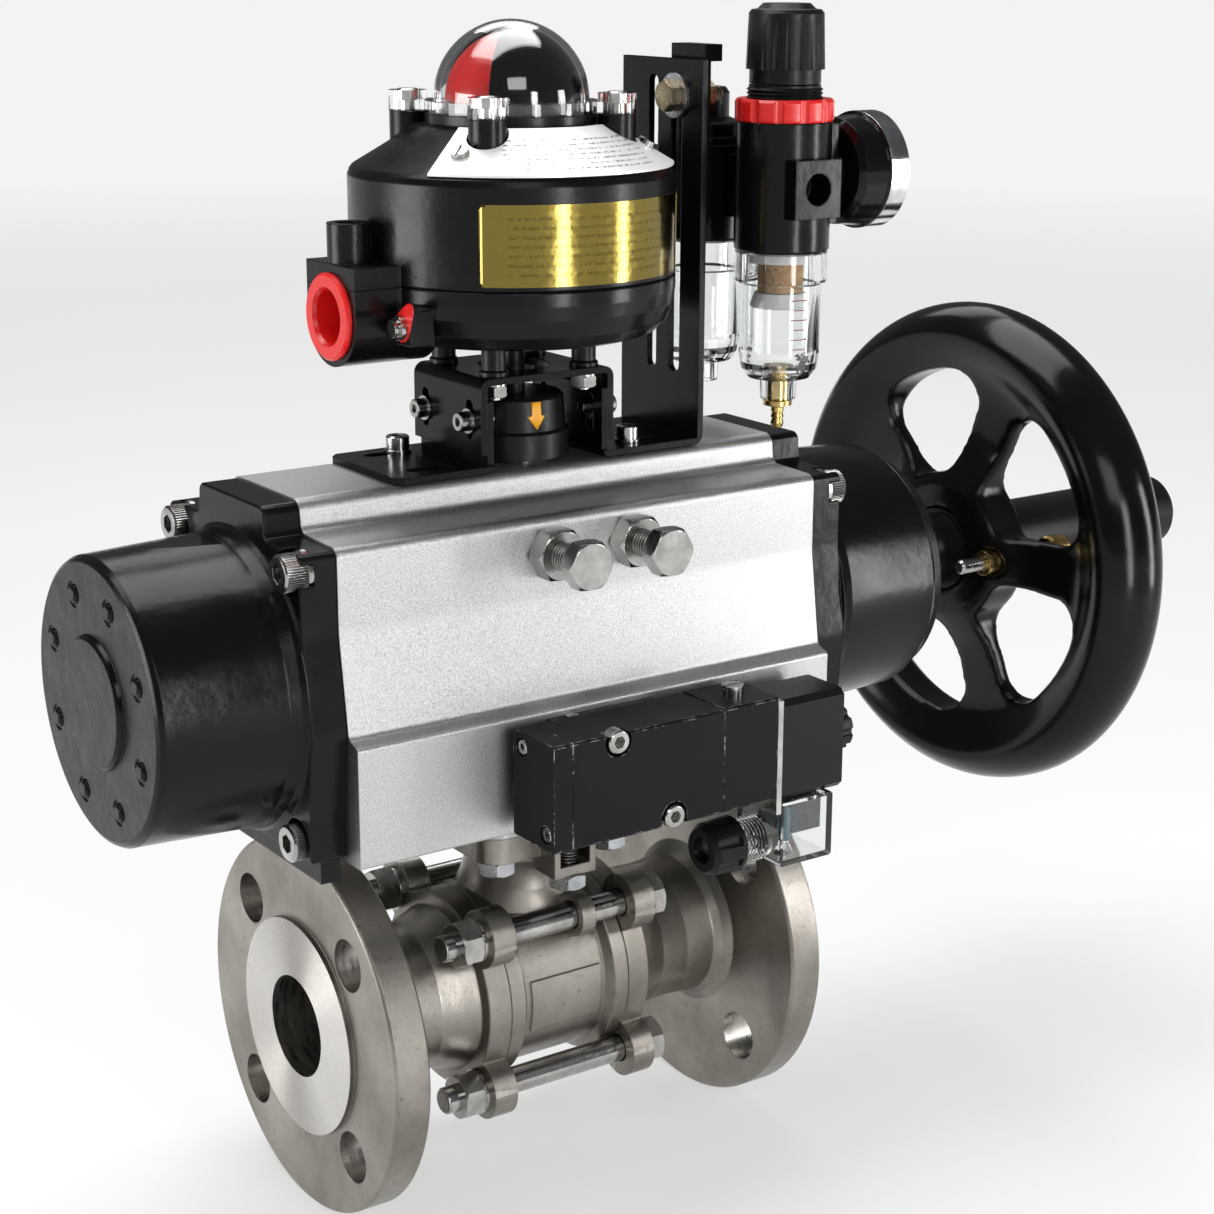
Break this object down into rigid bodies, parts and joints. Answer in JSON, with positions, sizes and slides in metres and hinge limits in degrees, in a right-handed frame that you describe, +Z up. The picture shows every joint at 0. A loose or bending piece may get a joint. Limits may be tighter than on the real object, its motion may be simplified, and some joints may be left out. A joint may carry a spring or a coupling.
{
  "type": "pneumatic actuated valve",
  "caption": "Flanged ball valve turned by a spring-return rack and pinion air actuator, with limit switch box, air service unit, solenoid and handwheel.",
  "frame": {"origin": "centre of the inlet flange's raised face, on the pipe axis", "axes": "+X along the pipe from inlet to outlet, +Z up the valve stem, -Y towards the solenoid side"},
  "size_m": [0.5081, 0.2034, 0.4305],
  "materials": {
    "cast_stainless": "bead-blasted cast stainless steel, warm grey",
    "polished_stainless": "polished stainless steel",
    "stainless": "turned stainless steel",
    "ptfe": "white low-friction plastic",
    "zinc_fasteners": "zinc-plated steel",
    "stainless_fasteners": "bright stainless steel",
    "anodised_body": "satin silver anodised extrusion with a fine grain",
    "black_cast": "glossy black paint over rough die casting",
    "cast_aluminium": "as-cast aluminium",
    "spring_steel": "dark spring steel",
    "black_plastic": "black moulded plastic",
    "black_sheet": "satin black coated sheet steel",
    "clear_plastic": "clear moulded plastic",
    "red_plastic": "red moulded plastic",
    "switch_plastic": "dark grey moulded plastic",
    "silver_plate": "satin printed aluminium plate",
    "sintered_bronze": "sintered bronze grains",
    "brass": "turned brass",
    "anodised_black": "black anodised aluminium with worn bright edges",
    "painted_steel_tube": "satin black painted steel"
  },
  "bodies": {
    "frame": {"valve_body": "cast_stainless", "inlet_cap": "cast_stainless", "outlet_cap": "cast_stainless", "seats": "ptfe", "gland_nut": "stainless", "tie_bolts": "zinc_fasteners", "pad_bolts": "zinc_fasteners", "actuator_body": "anodised_body", "spring_cap": "black_cast", "drive_cap": "black_cast", "cap_screws": "stainless_fasteners", "left_spring": "spring_steel", "right_spring": "spring_steel", "stop_bolts": "stainless_fasteners", "short_foot": "black_sheet", "upright_foot": "black_sheet", "bridge": "black_sheet", "bracket_screws": "stainless_fasteners", "switch_base": "black_cast", "switch_cover": "black_cast", "box_posts": "stainless_fasteners", "dome": "clear_plastic", "dome_mask": "black_plastic", "microswitches": "switch_plastic", "nameplate": "silver_plate", "conduit_plug": "red_plastic", "box_screws": "stainless_fasteners", "frl_bracket": "cast_aluminium", "regulator_body": "black_cast", "regulator_ring": "red_plastic", "bowls": "clear_plastic", "filter_element": "sintered_bronze", "gauge_case": "black_plastic", "lubricator_body": "black_cast", "solenoid_body": "anodised_black", "solenoid_cover": "anodised_black", "pilot_block": "anodised_black", "coil": "black_plastic", "coil_nut": "black_plastic", "connector": "clear_plastic", "cord_nut": "black_plastic", "solenoid_screws": "stainless_fasteners"},
    "drive": {"pinion": "stainless", "stem": "stainless", "ball": "polished_stainless", "indicator_cup": "black_plastic", "cam_shaft": "black_plastic", "rotor": "red_plastic"},
    "left_piston": {"left_piston": "cast_aluminium"},
    "right_piston": {"right_piston": "cast_aluminium"},
    "wheel": {"handwheel": "black_cast", "wheel_bushes": "brass", "stem_cover": "painted_steel_tube"},
    "jack_screw": {"jack_screw": "stainless"},
    "lock_pin": {"lock_pin": "stainless"},
    "regulator_knob": {"regulator_knob": "black_plastic"},
    "drain_valve": {"drain_valve": "brass"},
    "gauge_needle": {"gauge_needle": "red_plastic"},
    "override_button": {"override_button": "brass"},
    "spool": {"spool": "cast_aluminium"}
  },
  "joints": [
    {"name": "quarter_turn", "type": "hinge", "parent": "frame", "child": "drive", "pos_m": [0.096, 0, 0.1], "axis": [0, 0, 1], "range_deg": [0, 90]},
    {"name": "left_piston_slide", "type": "slide", "parent": "frame", "child": "left_piston", "axis": [-1, 0, 0], "range_m": [0, 0.022], "deforming": ["left_spring"]},
    {"name": "right_piston_slide", "type": "slide", "parent": "frame", "child": "right_piston", "axis": [1, 0, 0], "range_m": [0, 0.022], "deforming": ["right_spring"]},
    {"name": "handwheel_turn", "type": "hinge", "parent": "frame", "child": "wheel", "pos_m": [0.307, 0, 0.1365], "axis": [1, 0, 0], "range_deg": [0, 1800]},
    {"name": "jack_slide", "type": "slide", "parent": "frame", "child": "jack_screw", "axis": [1, 0, 0], "range_m": [0, 0.02]},
    {"name": "lock_pin_slide", "type": "slide", "parent": "wheel", "child": "lock_pin", "axis": [1, 0, 0], "range_m": [0, 0.008], "stiffness_N_per_m": 400, "springref_m": -0.004},
    {"name": "knob_turn", "type": "hinge", "parent": "frame", "child": "regulator_knob", "pos_m": [0.193, -0.0315, 0.345], "axis": [0, 0, 1], "range_deg": [-540, 540]},
    {"name": "drain_turn", "type": "hinge", "parent": "frame", "child": "drain_valve", "pos_m": [0.193, -0.0315, 0.215], "axis": [0, 0, 1], "range_deg": [0, 90]},
    {"name": "needle_turn", "type": "hinge", "parent": "frame", "child": "gauge_needle", "pos_m": [0.231, -0.0315, 0.3], "axis": [-1, 0, 0], "range_deg": [0, 270]},
    {"name": "button_press", "type": "slide", "parent": "frame", "child": "override_button", "axis": [0, 0, -1], "range_m": [0, 0.0025], "stiffness_N_per_m": 800, "springref_m": -0.002},
    {"name": "spool_slide", "type": "slide", "parent": "frame", "child": "spool", "axis": [1, 0, 0], "range_m": [0, 0.003], "stiffness_N_per_m": 600, "springref_m": -0.002}
  ],
  "couplings": [
    {"joint": "left_piston_slide", "follows": "quarter_turn", "m_per_rad": 0.014},
    {"joint": "right_piston_slide", "follows": "quarter_turn", "m_per_rad": 0.014},
    {"joint": "jack_slide", "follows": "handwheel_turn", "m_per_rad": 0.00063662}
  ]
}
